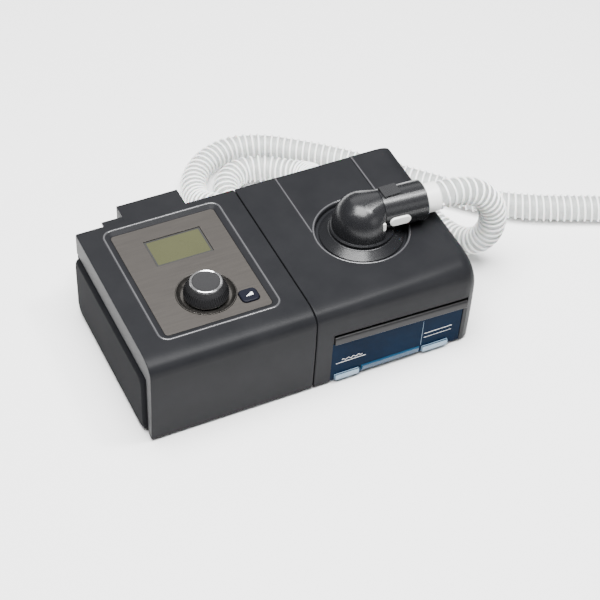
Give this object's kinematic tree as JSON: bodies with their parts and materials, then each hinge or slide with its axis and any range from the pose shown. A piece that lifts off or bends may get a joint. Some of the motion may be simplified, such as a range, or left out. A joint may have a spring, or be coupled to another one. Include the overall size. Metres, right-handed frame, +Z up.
{
  "type": "mechanical ventilator",
  "caption": "Bedside airway-pressure ventilator: a blower unit with a dial and display docked to a heated humidifier with a swivel elbow and a ribbed breathing hose.",
  "frame": {"origin": "middle of the machine's footprint, hose left out, at the underside of its rubber feet", "axes": "+X towards the humidifier side, +Z up, the front with the water tank door faces -Y"},
  "size_m": [0.6649, 0.5008, 0.1267],
  "materials": {
    "case": "fine satin grain, charcoal",
    "base": "fine grain",
    "faceplate": "satin metallic paint, warm grey",
    "bezel": "brushed, satin",
    "chrome": "polished",
    "dial": "knurled, soft touch",
    "display": "reflective liquid crystal",
    "window": "clear",
    "button": "blue-grey, printed icon",
    "latch": "satin",
    "door": "clear blue tint",
    "tank": "clear, blue tint",
    "steel": "machined",
    "aluminium": "anodised",
    "rubber": "matt",
    "silicone": "translucent grey",
    "board": "solder mask",
    "foam": "open-cell foam",
    "paper": "pleated filter paper",
    "white": "white",
    "hose": "ribbed, translucent white",
    "inner": "dark grey"
  },
  "bodies": {
    "machine": {"blower_base": "base", "blower_foot_1": "rubber", "blower_foot_2": "rubber", "blower_foot_3": "rubber", "blower_foot_4": "rubber", "blower_motor": "steel", "blower_mount": "silicone", "blower_side_panel": "case", "blower_top_cover": "case", "blower_volute": "inner", "card_socket": "steel", "control_board": "board", "dc_inlet": "inner", "dial_bezel": "bezel", "dock_seal": "silicone", "door_pin_left": "steel", "door_pin_right": "steel", "encoder_body": "inner", "faceplate": "faceplate", "filter_cap": "case", "fine_filter": "paper", "foam_filter": "foam", "heater_insulator": "silicone", "heater_plate": "aluminium", "hose": "hose", "humidifier_base": "base", "humidifier_foot_1": "rubber", "humidifier_foot_2": "rubber", "humidifier_foot_3": "rubber", "humidifier_foot_4": "rubber", "humidifier_top_case": "case", "inlet_duct": "inner", "latch_spring_left": "steel", "latch_spring_right": "steel", "lcd_module": "display", "lcd_window": "window", "main_board": "board", "mask_cuff": "white", "outlet_duct": "inner", "swivel_collar": "case", "tank_chamber": "tank", "tank_gasket": "silicone", "tank_heat_plate": "steel", "tank_lid": "inner", "volute_cover": "inner"},
    "dial_plunger": {"encoder_shaft": "steel"},
    "dial_wheel": {"control_wheel": "dial", "wheel_trim_ring": "chrome", "wheel_cap": "dial"},
    "ramp_key": {"ramp_button": "button"},
    "fan": {"impeller": "white"},
    "card": {"memory_card": "base"},
    "latch": {"latch_bar": "latch"},
    "door": {"tank_door": "door"},
    "elbow": {"outlet_elbow": "case", "outlet_sleeve": "case", "alignment_mark": "white", "elbow_seal": "rubber", "machine_cuff": "white"},
    "release": {"release_button": "white"}
  },
  "joints": [
    {"name": "dial_press", "type": "slide", "parent": "machine", "child": "dial_plunger", "axis": [0, 0, -1], "range_m": [0, 0.001], "stiffness_N_per_m": 1500, "springref_m": -0.001},
    {"name": "dial_spin", "type": "hinge", "parent": "dial_plunger", "child": "dial_wheel", "pos_m": [-0.07205, -0.0312, 0.088], "axis": [0, 0, 1], "continuous": true},
    {"name": "ramp_press", "type": "slide", "parent": "machine", "child": "ramp_key", "axis": [0, 0, -1], "range_m": [0, 0.0008], "stiffness_N_per_m": 600, "springref_m": -0.001},
    {"name": "impeller_spin", "type": "hinge", "parent": "machine", "child": "fan", "pos_m": [-0.0582, -0.0152, 0.0374], "axis": [0, 0, 1], "continuous": true},
    {"name": "card_slide", "type": "slide", "parent": "machine", "child": "card", "axis": [0, 1, 0], "range_m": [0, 0.026]},
    {"name": "latch_lift", "type": "slide", "parent": "machine", "child": "latch", "axis": [0, 0, 1], "range_m": [0, 0.0025], "stiffness_N_per_m": 300, "springref_m": -0.003, "deforming": ["latch_spring_left", "latch_spring_right"]},
    {"name": "door_open", "type": "hinge", "parent": "machine", "child": "door", "pos_m": [0.078, -0.0864, 0.0072], "axis": [1, 0, 0], "range_deg": [0, 90]},
    {"name": "elbow_swivel", "type": "hinge", "parent": "machine", "child": "elbow", "pos_m": [0.078, -0.0146, 0.0896], "axis": [0, 0, 1], "range_deg": [-30, 45], "deforming": ["hose"]},
    {"name": "release_press", "type": "slide", "parent": "elbow", "child": "release", "axis": [0.0628, 0.998, 0], "range_m": [0, 0.0008], "stiffness_N_per_m": 600, "springref_m": -0.001}
  ]
}
